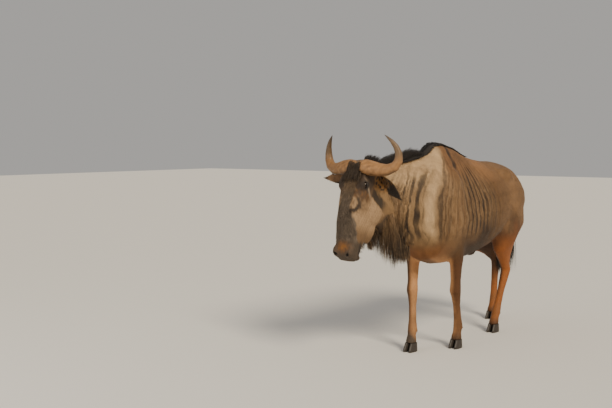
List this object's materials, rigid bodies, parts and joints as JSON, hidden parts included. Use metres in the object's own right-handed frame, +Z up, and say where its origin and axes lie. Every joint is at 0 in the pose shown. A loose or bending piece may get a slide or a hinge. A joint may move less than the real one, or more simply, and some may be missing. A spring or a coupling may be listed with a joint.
{
  "type": "wildebeest",
  "caption": "Standing blue wildebeest bull in mid stride, life size, with its head hung low, curved horns, a dark mane, a beard and a long tufted tail.",
  "frame": {"origin": "on the floor, under the centre of the whole animal's bounding box", "axes": "-Y the way the body faces, +X the animal's left side, +Z up from the floor"},
  "size_m": [0.7684, 2.213, 1.4765],
  "materials": {
    "body_coat": "short matt hair, grey-brown with darker upright stripes",
    "leg_coat": "short matt hair, brown",
    "face_coat": "short matt hair, near black in front",
    "black_hair": "long coarse hair",
    "beard_hair": "long coarse hair, dark with pale strands",
    "horn": "smooth horn, satin",
    "hoof": "dark horn, satin",
    "eye": "wet dark eye"
  },
  "bodies": {
    "root": {"head": "face_coat", "neck": "body_coat", "torso": "body_coat", "tail": "body_coat", "foreleg_left": "leg_coat", "foreleg_right": "leg_coat", "hindleg_left": "leg_coat", "hindleg_right": "leg_coat", "ear_left": "body_coat", "ear_right": "body_coat", "eye_left": "eye", "eye_right": "eye", "horn_left": "horn", "horn_right": "horn", "mane_neck": "black_hair", "mane_withers": "black_hair", "forelock": "black_hair", "tail_tuft": "black_hair", "beard_chin": "beard_hair", "beard_throat": "beard_hair", "hoof_fore_left_inner": "hoof", "hoof_fore_left_outer": "hoof", "hoof_fore_right_inner": "hoof", "hoof_fore_right_outer": "hoof", "hoof_hind_left_inner": "hoof", "hoof_hind_left_outer": "hoof", "hoof_hind_right_inner": "hoof", "hoof_hind_right_outer": "hoof"}
  },
  "joints": []
}
